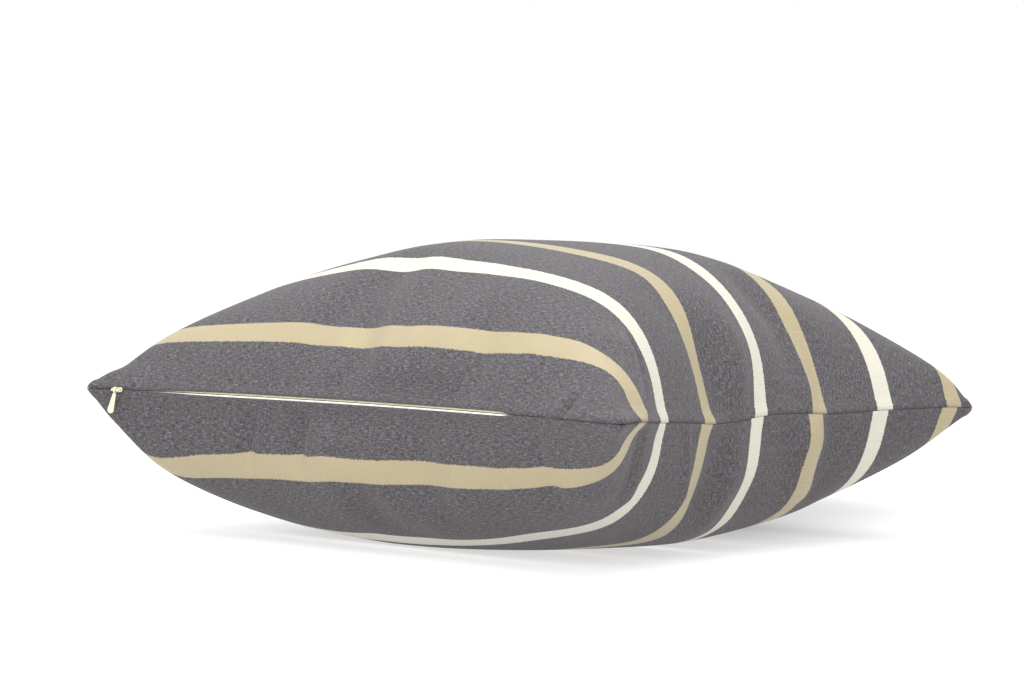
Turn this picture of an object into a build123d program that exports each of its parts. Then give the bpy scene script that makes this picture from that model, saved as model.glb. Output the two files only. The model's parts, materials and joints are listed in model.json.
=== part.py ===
from build123d import *

import math
import os

# Throw pillow: a square knife-edge cover with a concealed zip, round a stuffed insert.
#
# Frame: millimetres, +Z up, origin at the centre of the floor under the pillow. The pillow lies
# on its bottom panel, the zip is on the -Y side and runs along X, and its closed end is at -X.
#
# Every side of the stuffed cover pulls in along a circular arc whose centre is outside the
# pillow, so the zip's tapes, coils and slider all turn about one vertical axis, the arc axis.

# Cover
EAR_REACH = 210.0        # centre to the ear's corner point, along X and along Y
SIDE_REACH = 179.0       # centre to the middle of a side
SEAM_HEIGHT = 93.0       # floor to the seam line
TOP_HEIGHT = 195.0       # floor to the crown of the top panel
CLOTH = 1.0              # cover cloth thickness
SEAM_GAP = 0.25          # half the gap between the two panels' seam allowances
ALLOWANCE = 11.0         # seam allowance turned in, from the outer face
EAR_FILLET = 3.0         # rounding of an ear's point at the seam
EAR_SHARP = 1.5          # an ear's point steps in this many times as far as the sides
BAND_HEIGHT = 9.0        # the wall beside a seam is upright for this height
BAND_FILLET = 8.0        # rounding of the ear at the top of the upright band
CROWN_FLAT = 42.0        # mid-side reach of the level top of the crown
REST_FLAT = 80.0         # mid-side reach of the flat the pillow rests on

# The levels of a panel above its upright band. height is a share of the crown's height; side
# and ear are how far the level stands inside the seam; spread is how much of the crown's flat
# is added back to both; rounding is the radius where two sides meet.
LEVELS = [
    {"height": 0.40, "side": 5, "ear": 22, "spread": 0.0, "rounding": 46},
    {"height": 0.66, "side": 32, "ear": 57, "spread": 0.12, "rounding": 74},
    {"height": 0.86, "side": 72, "ear": 106, "spread": 0.26, "rounding": 84},
]
CROWN_EAR = 0.94         # the crown's ear reach, as a share of its mid-side reach
CROWN_ROUNDING = 0.72    # the crown's rounding, as a share of its mid-side reach
LEAST_ROUNDING = 1.2
INSET_SHARPENS = 0.4     # an inset outline's rounding shrinks by this share of its inset

# Insert
INSERT_CLOTH = 0.6
FILL_GAP = 0.05
INSERT_THREAD = 0.4        # width of the insert's closing thread
INSERT_SEAM_INSET = 14.0   # how far the insert's own seam is inside the cover's outer face
INSERT_BAND_INSET = 6.0
INSERT_INSET = 2.4

# Zip: distances inward are measured from the cover's outer face on the zip side
ZIP_LEFT = -194.0        # the closed end of the slit, measured round the arc from mid-side
ZIP_RIGHT = 150.0        # the open end of the slit
TAPE_TAIL = 5.0          # tape that runs on past each end of the slit
SLIT_HALF = 0.9          # the folded edges stand this far from the seam plane
FOLD_IN = 1.15           # inward to the allowance that is folded back beside the zip
TAPE_IN = 2.2
TAPE_THICK = 0.5
TAPE_EDGE = 0.35         # the tapes' edges stand this far from the seam plane
TAPE_WIDTH = 9.0
TOUCH = 0.01             # gap left between pieces that lie against each other
BEHIND_TAPE = TAPE_IN + TAPE_THICK + TOUCH
COIL_RADIUS = 0.65
COIL_IN = BEHIND_TAPE + COIL_RADIUS
COIL_RISE = TAPE_EDGE + COIL_RADIUS
STOP_LENGTH = 2.5
STOP_THICK = 1.8
STOP_WIDTH = 2.4
END_BAR_HALF = 3.0       # the bottom stop spans both coils
STOP_GAP = 0.8           # the slider stays this far from the stops
THREAD_IN = 1.6          # how far inside the outer face a plain seam's thread runs
STITCH_RADIUS = 0.25
STITCH_RISE = 5.0        # the stitches that hold a tape stand this far from the seam plane

# Slider and pull: lx runs along the zip, ly points into the pillow, lz is up
SLIDER_LENGTH = 9.0
PLATE_IN = 4.4
PLATE_THICK = 0.9
PLATE_HALF = 3.4
CHEEK = 0.9              # thickness of the walls that curl round the coils
CHEEK_IN = 3.1
CHEEK_SHORTER = 3.2      # the cheeks are this much shorter than the plate
PLATE_CORNER = 1.4
NECK_THICK = 0.5
NECK_LENGTH = 4.0
FACE_OUT = 0.6           # gap between the cover's outer face and the slider's face plate
FACE_THICK = 0.9
FACE_LENGTH = 7.0
FACE_HALF = 1.5
FACE_CORNER = 1.2
BAR_OUT = 3.6            # the bridge bar's axis, outward of the cover
BAR_RADIUS = 0.6
BAR_SPAN = 5.4
FOOT_LENGTH = 1.1        # each foot of the bridge bar, along the zip
FOOT_ALONG = 2.6         # from the slider's middle to a foot's middle
FOOT_CORNER = 0.5
JOIN = 0.2               # how far pieces of one solid reach into each other
PULL_LENGTH = 15.5       # from the bridge bar to the tip
PULL_WIDTH = 4.4
PULL_THICK = 1.0
PULL_EYE = 1.0           # radius of the eye round the bridge bar
PULL_NECK = 1.9          # half width of the pull round its eye
PULL_SHOULDER = 1.1      # radius of the teardrop's narrow end
PULL_SHOULDER_DROP = 1.2 # from the eye's edge to the middle of the narrow end
PULL_CHAMFER = 0.25
STEM_LENGTH = 1.6
PULL_LEAN = 14.0         # degrees the hanging pull leans towards the closed end

# Care label
LABEL_WIDTH = 30.0
LABEL_REACH = 38.0
LABEL_THICK = 0.4
LABEL_GAP = 0.35         # gap between the label and the cloth round it
LABEL_ALONG = 60.0       # where along the left seam the label is sewn in

SAGITTA = EAR_REACH - SIDE_REACH
ARC_RADIUS = (EAR_REACH**2 + SAGITTA**2) / (2 * SAGITTA)
ARC_CENTRE_Y = -(SIDE_REACH + ARC_RADIUS)
ARC_AXIS = Axis((0, ARC_CENTRE_Y, 0), (0, 0, 1))


def degrees_round(distance):
    """The angle about the arc axis of a distance along the zip side, positive towards +X."""
    return math.degrees(distance / ARC_RADIUS)


STOP_TO_MIDDLE = STOP_LENGTH + SLIDER_LENGTH / 2 + STOP_GAP
SLIDER_ANGLE = degrees_round(ZIP_LEFT + STOP_TO_MIDDLE)
SLIDER_TRAVEL = degrees_round(ZIP_RIGHT - STOP_TO_MIDDLE) - SLIDER_ANGLE


# Outlines and domes
def outline(height, side, ear, rounding, inset=0.0, sharp=1.0):
    """One level of the pillow: four bowed sides, rounded where they meet.

    sharp is how many times as far the ears step in as the sides do, so that an inset outline
    stays parallel where the ears are pointed.
    """
    side, ear = side - inset, ear - inset * sharp
    corners = [(ear, -ear), (ear, ear), (-ear, ear), (-ear, -ear)]
    middles = [(side, 0), (0, side), (-side, 0), (0, -side)]
    sides = []
    for i in range(4):
        start, end = corners[i], corners[(i + 1) % 4]
        sides.append(ThreePointArc(start, middles[i], end))
    flat = make_face(Wire(sides))
    rounded = fillet(flat.vertices(), max(rounding - inset * INSET_SHARPENS, LEAST_ROUNDING))
    return rounded.moved(Location((0, 0, height)))


def dome(height, flat, insets, lift=0.0):
    """A closed half pillow that stands on the seam plane and rises by height.

    insets are how far it stands inside the cover's outer face at the seam, at the top of
    the upright band and above it. lift is how much lower its crown is than the cover's.
    """
    at_seam, at_band, above = insets
    crown = height - lift
    band = outline(0, SIDE_REACH, EAR_REACH, EAR_FILLET, at_seam, EAR_SHARP)
    shoulder = outline(BAND_HEIGHT, SIDE_REACH, EAR_REACH, BAND_FILLET, at_band, EAR_SHARP)
    levels = []
    for level in LEVELS:
        side = SIDE_REACH - level["side"] + flat * level["spread"]
        ear = EAR_REACH - level["ear"] + flat * level["spread"]
        levels.append(outline(crown * level["height"], side, ear, level["rounding"], above))
    levels.append(outline(crown, flat, flat * CROWN_EAR, flat * CROWN_ROUNDING, above))
    lower = loft([band, shoulder], ruled=True)
    upper = loft([shoulder, *levels])
    return lower + upper


def flip(shape):
    """The same shape hanging below the seam plane."""
    return shape.mirror(Plane.XY)


# Pieces that follow a side's arc
def arc_piece(profile, start, end):
    """Turns a profile of (inward, height) points about the arc axis, from start to end, both
    distances along the side measured from its middle."""
    points = [(0, ARC_CENTRE_Y + ARC_RADIUS + inward, rise) for inward, rise in profile]
    face = make_face(Polyline(*points, close=True))
    return turned(face, start, end)


def arc_tube(inward, rise, radius, start, end):
    """A round cord or thread along a side's arc."""
    centre = Vector(0, ARC_CENTRE_Y + ARC_RADIUS + inward, rise)
    face = make_face(Circle(radius).edge()).moved(Location(Plane(centre, z_dir=(1, 0, 0))))
    return turned(face, start, end)


def turned(face, start, end):
    face = face.rotate(ARC_AXIS, -degrees_round(end))
    return revolve(face, ARC_AXIS, degrees_round(end - start))


def box_profile(inward, outward, low, high):
    return [(inward, low), (outward, low), (outward, high), (inward, high)]


def on_side(shape, quarter_turns):
    """Carries a piece from the zip side to the side that many quarter turns on."""
    return shape.rotate(Axis.Z, 90 * quarter_turns)


# Cover
HALF_SIDE = math.asin(EAR_REACH / ARC_RADIUS) * ARC_RADIUS
OVERLOCK_THICK = 0.5
OVERLOCK_BITE = 1.6      # how far in from the raw edges the overlock reaches
EAR_CLEARANCE = 25.0     # the allowances are trimmed this far short of the ears' points
FLANGE_END = HALF_SIDE - EAR_CLEARANCE
BACK_OF_ZIP = (ZIP_LEFT - TAPE_TAIL, ZIP_RIGHT + TAPE_TAIL)
FOLD_BACK = FOLD_IN + CLOTH - 5 * TOUCH
FOLD_TOP = BAND_HEIGHT - 1
LARGER_THAN_ALL = 500.0  # the size of a block that reaches past the whole pillow


def seam_allowance(start, end):
    """The allowance that lies level beside a plain seam."""
    low, high = SEAM_GAP, SEAM_GAP + CLOTH
    return arc_piece(box_profile(CLOTH * 0.4, ALLOWANCE, low, high), start, end)


def zip_allowance():
    """The allowance folded back against the wall beside the zip, and its fold."""
    start, end = BACK_OF_ZIP
    back = arc_piece(box_profile(FOLD_IN, FOLD_BACK, SLIT_HALF, FOLD_TOP), start, end)
    fold = arc_piece(box_profile(CLOTH / 3, FOLD_BACK, SLIT_HALF, SLIT_HALF + CLOTH), start, end)
    return back + fold


def cover_panel(height, flat):
    """One panel of the cover above the seam plane, with its allowances turned in."""
    outside = dome(height, flat, (0, 0, 0))
    inside = dome(height, flat, (CLOTH, CLOTH, CLOTH), lift=CLOTH)
    panel = outside - inside
    panel -= Pos(0, 0, SEAM_GAP / 2) * Box(LARGER_THAN_ALL, LARGER_THAN_ALL, SEAM_GAP)
    slit = arc_piece(box_profile(-CLOTH, 2 * CLOTH, -CLOTH, SLIT_HALF), *BACK_OF_ZIP)
    panel -= slit
    for quarter in (1, 2, 3):
        panel += on_side(seam_allowance(-FLANGE_END, FLANGE_END), quarter)
    panel += zip_allowance()
    return panel


def care_label(inside_height, flat):
    """A blank woven label that hangs from the left seam, against the top panel's inner face."""
    inset = CLOTH + LABEL_GAP
    outer = dome(inside_height, flat, (inset, inset, inset), lift=inset)
    inset += LABEL_THICK
    inner = dome(inside_height, flat, (inset, inset, inset), lift=inset)
    low = SEAM_GAP + CLOTH + LABEL_GAP
    middle = (-SIDE_REACH, LABEL_ALONG, low + LABEL_REACH / 2)
    room = Pos(*middle) * Box(2 * LABEL_REACH, LABEL_WIDTH, LABEL_REACH)
    return (outer - inner) & room


# Seams
def seam_thread():
    return arc_tube(THREAD_IN, 0, SEAM_GAP - TOUCH, -FLANGE_END, FLANGE_END)


def overlock(start, end):
    """The thread that wraps the two raw edges of a plain seam together."""
    edge, reach = ALLOWANCE - OVERLOCK_BITE, ALLOWANCE + TOUCH
    half = SEAM_GAP + CLOTH + TOUCH
    profile = [
        (edge, -half - OVERLOCK_THICK),
        (reach + OVERLOCK_THICK, -half - OVERLOCK_THICK),
        (reach + OVERLOCK_THICK, half + OVERLOCK_THICK),
        (edge, half + OVERLOCK_THICK),
        (edge, half),
        (reach, half),
        (reach, -half),
        (edge, -half),
    ]
    return arc_piece(profile, start, end)


def zip_overlock():
    """The thread round the raw edge of the allowance folded back beside the zip."""
    low = FOLD_TOP + TOUCH
    profile = box_profile(FOLD_IN, FOLD_BACK, low, low + OVERLOCK_THICK)
    return arc_piece(profile, *BACK_OF_ZIP)


# Zip
def zip_tape():
    profile = box_profile(TAPE_IN, TAPE_IN + TAPE_THICK, TAPE_EDGE, TAPE_EDGE + TAPE_WIDTH)
    return arc_piece(profile, *BACK_OF_ZIP)


def zip_coil():
    start, end = ZIP_LEFT + STOP_LENGTH, ZIP_RIGHT - STOP_LENGTH
    return arc_tube(COIL_IN, COIL_RISE, COIL_RADIUS, start, end)


def zip_stitch():
    return arc_tube(BEHIND_TAPE + STITCH_RADIUS, STITCH_RISE, STITCH_RADIUS, *BACK_OF_ZIP)


def top_stop():
    """One of the two crimped stops at the closed end."""
    low, high = TAPE_EDGE, TAPE_EDGE + STOP_WIDTH
    profile = box_profile(BEHIND_TAPE, BEHIND_TAPE + STOP_THICK, low, high)
    return arc_piece(profile, ZIP_LEFT, ZIP_LEFT + STOP_LENGTH - TOUCH)


def bottom_stop():
    """The bar that holds both coils together at the open end."""
    profile = box_profile(BEHIND_TAPE, BEHIND_TAPE + STOP_THICK, -END_BAR_HALF, END_BAR_HALF)
    return arc_piece(profile, ZIP_RIGHT - STOP_LENGTH + TOUCH, ZIP_RIGHT)


# Slider and pull
def block(length, inward_low, inward_high, low, high, along=0.0):
    """A box in the slider's own frame."""
    size = (length, inward_high - inward_low, high - low)
    middle = (along, (inward_high + inward_low) / 2, (high + low) / 2)
    return Pos(*middle) * Box(*size)


def slider_shape():
    plate = block(SLIDER_LENGTH, PLATE_IN, PLATE_IN + PLATE_THICK, -PLATE_HALF, PLATE_HALF)
    body = fillet(plate.edges().filter_by(Axis.Y), PLATE_CORNER)
    for sign in (-1, 1):
        low, high = sorted((sign * (PLATE_HALF - CHEEK), sign * PLATE_HALF))
        body += block(SLIDER_LENGTH - CHEEK_SHORTER, CHEEK_IN, PLATE_IN + JOIN, low, high)
    half = NECK_THICK / 2
    body += block(NECK_LENGTH, -FACE_OUT - JOIN, PLATE_IN + JOIN, -half, half)
    face = block(FACE_LENGTH, -FACE_OUT - FACE_THICK, -FACE_OUT, -FACE_HALF, FACE_HALF)
    body += fillet(face.edges().filter_by(Axis.Y), FACE_CORNER)
    bar = Cylinder(BAR_RADIUS, BAR_SPAN, rotation=(0, 90, 0))
    body += Pos(0, -BAR_OUT, 0) * bar
    outer, inner = -BAR_OUT - BAR_RADIUS, -FACE_OUT - JOIN
    for sign in (-1, 1):
        along = sign * FOOT_ALONG
        foot = block(FOOT_LENGTH, outer, inner, -BAR_RADIUS, BAR_RADIUS, along)
        edges = foot.edges().filter_by(Axis.Z).sort_by(Axis.Y)[:2]
        body += fillet(edges, FOOT_CORNER)
    return body


def pull_shape():
    """A flat teardrop that hangs from the bridge bar by its eye."""
    widest = -PULL_LENGTH + PULL_WIDTH / 2
    ring = Plane.YZ * (Circle(PULL_NECK) - Circle(PULL_EYE))
    eye = extrude(ring, amount=PULL_THICK / 2, both=True)
    shoulder = Pos(0, -PULL_NECK - PULL_SHOULDER_DROP) * Circle(PULL_SHOULDER)
    tip = Pos(0, widest) * Circle(PULL_WIDTH / 2)
    blade_outline = make_hull([*shoulder.edges(), *tip.edges()])
    blade = extrude(Plane.XZ * blade_outline, amount=PULL_THICK / 2, both=True)
    blade = chamfer(blade.faces().filter_by(Axis.Y).edges(), PULL_CHAMFER)
    stem = Pos(0, 0, -PULL_NECK - JOIN) * Box(PULL_THICK, PULL_THICK, STEM_LENGTH)
    return Location((0, 0, 0), (0, PULL_LEAN, 0)) * (eye + stem + blade)


def on_zip(shape, out=0.0):
    """Carries a piece from the slider's own frame to where the slider stands when the zip is shut."""
    angle = math.radians(SLIDER_ANGLE)
    radius = ARC_RADIUS - out
    place = (radius * math.sin(angle), ARC_CENTRE_Y + radius * math.cos(angle), 0)
    return Location(place, (0, 0, -SLIDER_ANGLE)) * shape


# Insert
def insert_panel(height, flat, thick):
    outer_insets = (INSERT_SEAM_INSET, INSERT_BAND_INSET, INSERT_INSET)
    inner_insets = tuple(inset + thick for inset in outer_insets)
    outside = dome(height, flat, outer_insets, lift=INSERT_INSET)
    inside = dome(height, flat, inner_insets, lift=INSERT_INSET + thick)
    panel = outside - inside
    return panel - Pos(0, 0, SEAM_GAP / 4) * Box(LARGER_THAN_ALL, LARGER_THAN_ALL, SEAM_GAP / 2)


def fibre_fill(top, rest):
    inside = INSERT_CLOTH + FILL_GAP
    outer_insets = (INSERT_SEAM_INSET, INSERT_BAND_INSET, INSERT_INSET)
    insets = tuple(inset + inside for inset in outer_insets)
    lift = INSERT_INSET + inside
    return dome(top, CROWN_FLAT, insets, lift) + flip(dome(rest, REST_FLAT, insets, lift))


def insert_seam():
    """The closing stitch round the insert's edge, between its two panels."""
    inset = INSERT_SEAM_INSET + 10 * TOUCH
    ring = outline(0, SIDE_REACH, EAR_REACH, EAR_FILLET, inset, EAR_SHARP)
    hole = outline(0, SIDE_REACH, EAR_REACH, EAR_FILLET, inset + INSERT_THREAD, EAR_SHARP)
    return extrude(ring - hole, amount=SEAM_GAP / 2 - TOUCH, both=True)


# The whole pillow
def build():
    top = TOP_HEIGHT - SEAM_HEIGHT
    rest = SEAM_HEIGHT
    thread = seam_thread()
    plain_end = BACK_OF_ZIP[1] + STOP_LENGTH
    short_thread = arc_tube(THREAD_IN, 0, SEAM_GAP - TOUCH, plain_end, FLANGE_END)
    nodes = {
        "cover_top_panel": cover_panel(top, CROWN_FLAT),
        "cover_bottom_panel": flip(cover_panel(rest, REST_FLAT)),
        "care_label": care_label(top, CROWN_FLAT),
        "seam_thread_right": on_side(thread, 1),
        "seam_thread_back": on_side(thread, 2),
        "seam_thread_left": on_side(thread, 3),
        "seam_thread_zip_end": short_thread,
        "overlock_right": on_side(overlock(-FLANGE_END, FLANGE_END), 1),
        "overlock_back": on_side(overlock(-FLANGE_END, FLANGE_END), 2),
        "overlock_left": on_side(overlock(-FLANGE_END, FLANGE_END), 3),
        "overlock_zip_upper": zip_overlock(),
        "overlock_zip_lower": flip(zip_overlock()),
        "zip_tape_upper": zip_tape(),
        "zip_tape_lower": flip(zip_tape()),
        "zip_coil_upper": zip_coil(),
        "zip_coil_lower": flip(zip_coil()),
        "zip_stitch_upper": zip_stitch(),
        "zip_stitch_lower": flip(zip_stitch()),
        "zip_top_stops": Compound(children=[top_stop(), flip(top_stop())]),
        "zip_bottom_stop": bottom_stop(),
        "zip_slider": on_zip(slider_shape()),
        "zip_pull": on_zip(pull_shape(), out=BAR_OUT),
        "insert_top_panel": insert_panel(top, CROWN_FLAT, INSERT_CLOTH),
        "insert_bottom_panel": flip(insert_panel(rest, REST_FLAT, INSERT_CLOTH)),
        "insert_seam_thread": insert_seam(),
        "fibre_fill": fibre_fill(top, rest),
    }
    os.makedirs("parts", exist_ok=True)
    for name, shape in nodes.items():
        placed = Pos(0, 0, SEAM_HEIGHT) * shape
        export_step(placed, f"parts/{name}.step")
    print(f"arc radius {ARC_RADIUS:.2f}, arc centre y {ARC_CENTRE_Y:.2f}")
    print(f"slider at {SLIDER_ANGLE:.3f} degrees, travel {SLIDER_TRAVEL:.3f} degrees")
    bar = on_zip(Vertex(0, 0, 0), out=BAR_OUT).center()
    print(f"pull bar at {bar.X:.4f}, {bar.Y:.4f}, {SEAM_HEIGHT:.4f}")


build()
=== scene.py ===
import json
import math

import bmesh
import bpy
import numpy as np
from mathutils import Matrix, Vector


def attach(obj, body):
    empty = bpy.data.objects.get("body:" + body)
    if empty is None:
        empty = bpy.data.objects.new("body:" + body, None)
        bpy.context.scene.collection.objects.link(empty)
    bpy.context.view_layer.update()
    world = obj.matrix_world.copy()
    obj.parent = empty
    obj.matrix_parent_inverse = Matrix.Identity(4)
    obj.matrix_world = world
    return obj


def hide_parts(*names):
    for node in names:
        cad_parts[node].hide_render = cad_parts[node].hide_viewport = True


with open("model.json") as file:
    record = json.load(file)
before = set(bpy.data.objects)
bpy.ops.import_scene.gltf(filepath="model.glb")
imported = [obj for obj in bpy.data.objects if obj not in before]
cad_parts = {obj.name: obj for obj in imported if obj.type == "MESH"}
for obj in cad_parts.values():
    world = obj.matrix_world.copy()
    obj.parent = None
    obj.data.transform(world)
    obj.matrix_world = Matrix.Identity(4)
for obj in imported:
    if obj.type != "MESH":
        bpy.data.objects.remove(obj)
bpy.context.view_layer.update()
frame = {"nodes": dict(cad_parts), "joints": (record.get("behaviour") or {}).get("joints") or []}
scene = bpy.context.scene
print("frame loaded")

# The zip's joint stands on the axis of the zip side's arc, at the height of the seams.
zipJoint = next(joint for joint in frame["joints"] if joint["name"] == "zip_slide")
seamHeight = zipJoint["pos_m"][2]
arcCentreY = zipJoint["pos_m"][1]

shape = {
    "earReach": 0.210,          # centre to an ear's point, along X and Y
    "flatHalf": 0.225,          # half of the 450 mm cloth square
    "zipStart": -0.194,         # slit, measured round the arc from mid-side
    "zipEnd": 0.150,
}
arcRadius = math.hypot(shape["earReach"], arcCentreY + shape["earReach"])
arcHalf = math.asin(shape["earReach"] / arcRadius) * arcRadius
onEdge = 1e-4                   # cloth nearer than this to a seam is on it
weldGap = 1e-5


cameraPlace = {
    "target": (0, 0, 0.09),
    "distance": 1.765,
    "azimuth": 36.67,
    "elevation": 3.07,
    "roll": 1.35,
    "lens": 94.5,
    "aimRight": -0.0181,        # the lens points this far off the target
    "aimUp": 0.0383,
}


def placeCamera():
    turn = math.radians(cameraPlace["azimuth"])
    rise = math.radians(cameraPlace["elevation"])
    roll = math.radians(cameraPlace["roll"])
    back = Vector((math.sin(turn) * math.cos(rise), -math.cos(turn) * math.cos(rise), math.sin(rise)))
    level = Vector((math.cos(turn), math.sin(turn), 0))
    up = back.cross(level)
    right = level * math.cos(roll) + up * math.sin(roll)
    top = up * math.cos(roll) - level * math.sin(roll)
    target = Vector(cameraPlace["target"])
    eye = target + back * cameraPlace["distance"]
    aim = target + right * cameraPlace["aimRight"] + top * cameraPlace["aimUp"]
    zAxis = (eye - aim).normalized()
    xAxis = (right - zAxis * right.dot(zAxis)).normalized()
    yAxis = zAxis.cross(xAxis)
    place = Matrix((xAxis, yAxis, zAxis)).transposed().to_4x4()
    place.translation = eye
    data = bpy.data.cameras.new("camera")
    data.lens = cameraPlace["lens"]
    camera = bpy.data.objects.new("camera", data)
    camera.matrix_world = place
    scene.collection.objects.link(camera)
    scene.camera = camera


lightSettings = {
    "world": 1.0,
    "floorTone": 0.45,
    "floorPaintedLight": 0.60,          # painted light: what the floor gives off of its own, which lifts the real shadows clear of the pillow
    "paintedShadowMiddle": (-0.069, 0.260, 0),    # painted shadow: the floor glows least here, behind the pillow, so the dim patch stands in for a cast shadow
    "paintedLightFrom": (0.08, 0.28),
    "floorHalf": 14.0,
    "softboxes": [
        # name, place, size, watts
        ("overhead", (0.2, -0.3, 2.3), 2.2, 52),
        ("front", (0.7, -2.2, 0.95), 1.4, 24),
    ],
}


def lightStudio():
    world = bpy.data.worlds.new("studio")
    world.use_nodes = True
    background = world.node_tree.nodes["Background"]
    background.inputs["Color"].default_value = (1, 1, 1, 1)
    background.inputs["Strength"].default_value = lightSettings["world"]
    scene.world = world
    for name, place, size, watts in lightSettings["softboxes"]:
        data = bpy.data.lights.new(name, "AREA")
        data.size = size
        data.energy = watts
        light = bpy.data.objects.new(name, data)
        light.location = place
        light.rotation_euler = (Vector(place) - Vector((0, 0, 0.1))).to_track_quat("Z", "Y").to_euler()
        scene.collection.objects.link(light)
    scene.view_settings.view_transform = "Standard"


def layFloor():
    bm = bmesh.new()
    bmesh.ops.create_grid(bm, x_segments=2, y_segments=2, size=lightSettings["floorHalf"])
    floor = newPiece("studioFloor", bm)
    tone = lightSettings["floorTone"]
    material, tree, surface = newMaterial("paleFloorPaintedLight", **{
        "Base Color": (tone, tone, tone, 1), "Roughness": 0.9, "Specular IOR Level": 0.1,
        "Emission Color": (1, 1, 1, 1)})
    # painted light: the floor's emission rises away from a point behind the pillow, wiping out the shadow
    # in front and leaving a dim painted shadow behind
    place = node(tree, "TexCoord").outputs["Object"]
    reach = node(tree, "VectorMath", {0: place, 1: lightSettings["paintedShadowMiddle"]}, operation="DISTANCE")
    paintedLight = stretchRange(tree, reach.outputs["Value"], *lightSettings["paintedLightFrom"], how="SMOOTHSTEP")
    paintedLight = sums(tree, "MULTIPLY", paintedLight, lightSettings["floorPaintedLight"])
    tree.links.new(paintedLight, surface.inputs["Emission Strength"])
    floor.data.materials.append(material)


def newPiece(name, bm):
    data = bpy.data.meshes.new(name)
    bm.to_mesh(data)
    bm.free()
    piece = bpy.data.objects.new(name, data)
    scene.collection.objects.link(piece)
    return piece


def readCo(data):
    co = np.empty(len(data.vertices) * 3)
    data.vertices.foreach_get("co", co)
    return co.reshape(-1, 3)


def writeCo(data, co):
    data.vertices.foreach_set("co", co.astype(np.float32).ravel())
    data.update()


def smooth(value, low, high):
    share = np.clip((value - low) / (high - low), 0, 1)
    return share * share * (3 - 2 * share)


def settle(piece):
    # swaps the piece's mesh for what its modifiers make of it
    graph = bpy.context.evaluated_depsgraph_get()
    finished = bpy.data.meshes.new_from_object(
        piece.evaluated_get(graph), preserve_all_data_layers=True, depsgraph=graph)
    piece.modifiers.clear()
    piece.data = finished
    return piece


def clothPlace(data):
    # each vertex's place on the flat cloth, in metres, from its UV
    place = np.zeros((len(data.vertices), 2))
    loops = np.empty(len(data.loops), int)
    data.loops.foreach_get("vertex_index", loops)
    uv = np.empty(len(data.loops) * 2)
    data.uv_layers["cloth"].data.foreach_get("uv", uv)
    place[loops] = uv.reshape(-1, 2)
    return place


def arcPoint(along, inward=0.0, height=0.0, quarter=0):
    # a point beside a side's arc, given how far round the side it is from its middle
    angle = along / arcRadius
    radius = arcRadius + inward
    x = radius * np.sin(angle)
    y = arcCentreY + radius * np.cos(angle)
    for turn in range(quarter):
        x, y = -y, x
    return np.stack([x, y, seamHeight + height + 0 * x], axis=-1)


stuffing = {
    "cells": 48,
    "quickCells": 24,
    "frames": 80,
    "start": 0.022,             # how far the flat squares are puffed up before they fill
    "lift": 0.055,
    "pressure": 7.0,
    "fluid": 0.5,
    "weight": 0.001,
    "stretch": 40,
    "shear": 5,
    "bend": 0.5,
    "quality": 6,
    "damping": 5,
    "bendDamping": 0.5,
    "airDamping": 3,
    "apart": 0.002,             # collision gap between the cloth and the table
    "grip": 20,
    "calm": 3,                  # rounds of smoothing that take out the sharpest wrinkles
    "calmEar": 8,               # and more of them at the near ear, which is rounder
    "calmShare": 0.5,
    "roundEar": 0.085,
    "seamReach": 0.07,          # how far in the cloth follows its seam
}


def sewBlank(cells):
    # two cloth squares, sewn together round their edges
    half = shape["flatHalf"]
    bm = bmesh.new()
    uvLayer = bm.loops.layers.uv.new("cloth")
    panelLayer = bm.faces.layers.int.new("panel")
    for panel, side in enumerate((1, -1)):
        made = bmesh.ops.create_grid(bm, x_segments=cells, y_segments=cells, size=half)
        faces = {face for vert in made["verts"] for face in vert.link_faces}
        for face in faces:
            face[panelLayer] = panel
            for loop in face.loops:
                loop[uvLayer].uv = loop.vert.co.xy
        for vert in made["verts"]:
            crown = (1 - (vert.co.x / half) ** 2) * (1 - (vert.co.y / half) ** 2)
            vert.co.z = stuffing["lift"] + side * stuffing["start"] * crown
        if side < 0:
            bmesh.ops.reverse_faces(bm, faces=list(faces))
    bmesh.ops.remove_doubles(bm, verts=bm.verts, dist=weldGap)
    return newPiece("coverBlank", bm)


def stuff(piece):
    bm = bmesh.new()
    bmesh.ops.create_grid(bm, x_segments=1, y_segments=1, size=1)
    table = newPiece("table", bm)
    table.modifiers.new("table", "COLLISION")
    table.collision.thickness_outer = stuffing["apart"]
    table.collision.cloth_friction = stuffing["grip"]
    cloth = piece.modifiers.new("stuffing", "CLOTH")
    settings = cloth.settings
    settings.quality = stuffing["quality"]
    settings.mass = stuffing["weight"]
    settings.tension_stiffness = stuffing["stretch"]
    settings.compression_stiffness = stuffing["stretch"]
    settings.shear_stiffness = stuffing["shear"]
    settings.bending_stiffness = stuffing["bend"]
    settings.tension_damping = stuffing["damping"]
    settings.compression_damping = stuffing["damping"]
    settings.shear_damping = stuffing["damping"]
    settings.bending_damping = stuffing["bendDamping"]
    settings.air_damping = stuffing["airDamping"]
    settings.use_pressure = True
    settings.uniform_pressure_force = stuffing["pressure"]
    settings.fluid_density = stuffing["fluid"]
    cloth.collision_settings.distance_min = stuffing["apart"]
    cloth.point_cache.frame_end = stuffing["frames"]
    for step in range(1, stuffing["frames"] + 1):
        scene.frame_set(step)
    settle(piece)
    scene.frame_set(1)
    bpy.data.objects.remove(table)


seamWander = {
    "ends": {1: (0.0, -0.004), 2: (-0.004, -0.002), 3: (-0.002, 0.0)},   # heights at a side's two ears
    "waves": [(0.0016, 9.5, 2.1), (0.0009, 23, 1)],     # height, rate along a side, shift for each side
}


def seamDrift(along, quarter):
    # how far a plain seam strays up or down, given how far round the flat cloth's side it is
    half = shape["flatHalf"]
    if quarter == 0:
        return 0 * along
    ears = seamWander["ends"][quarter]
    share = (along + half) / (2 * half)
    line = ears[0] + (ears[1] - ears[0]) * smooth(share, 0, 1)
    wave = sum(high * np.sin(share * rate + quarter * shift) for high, rate, shift in seamWander["waves"])
    return line + wave * np.sin(share * math.pi)


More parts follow.
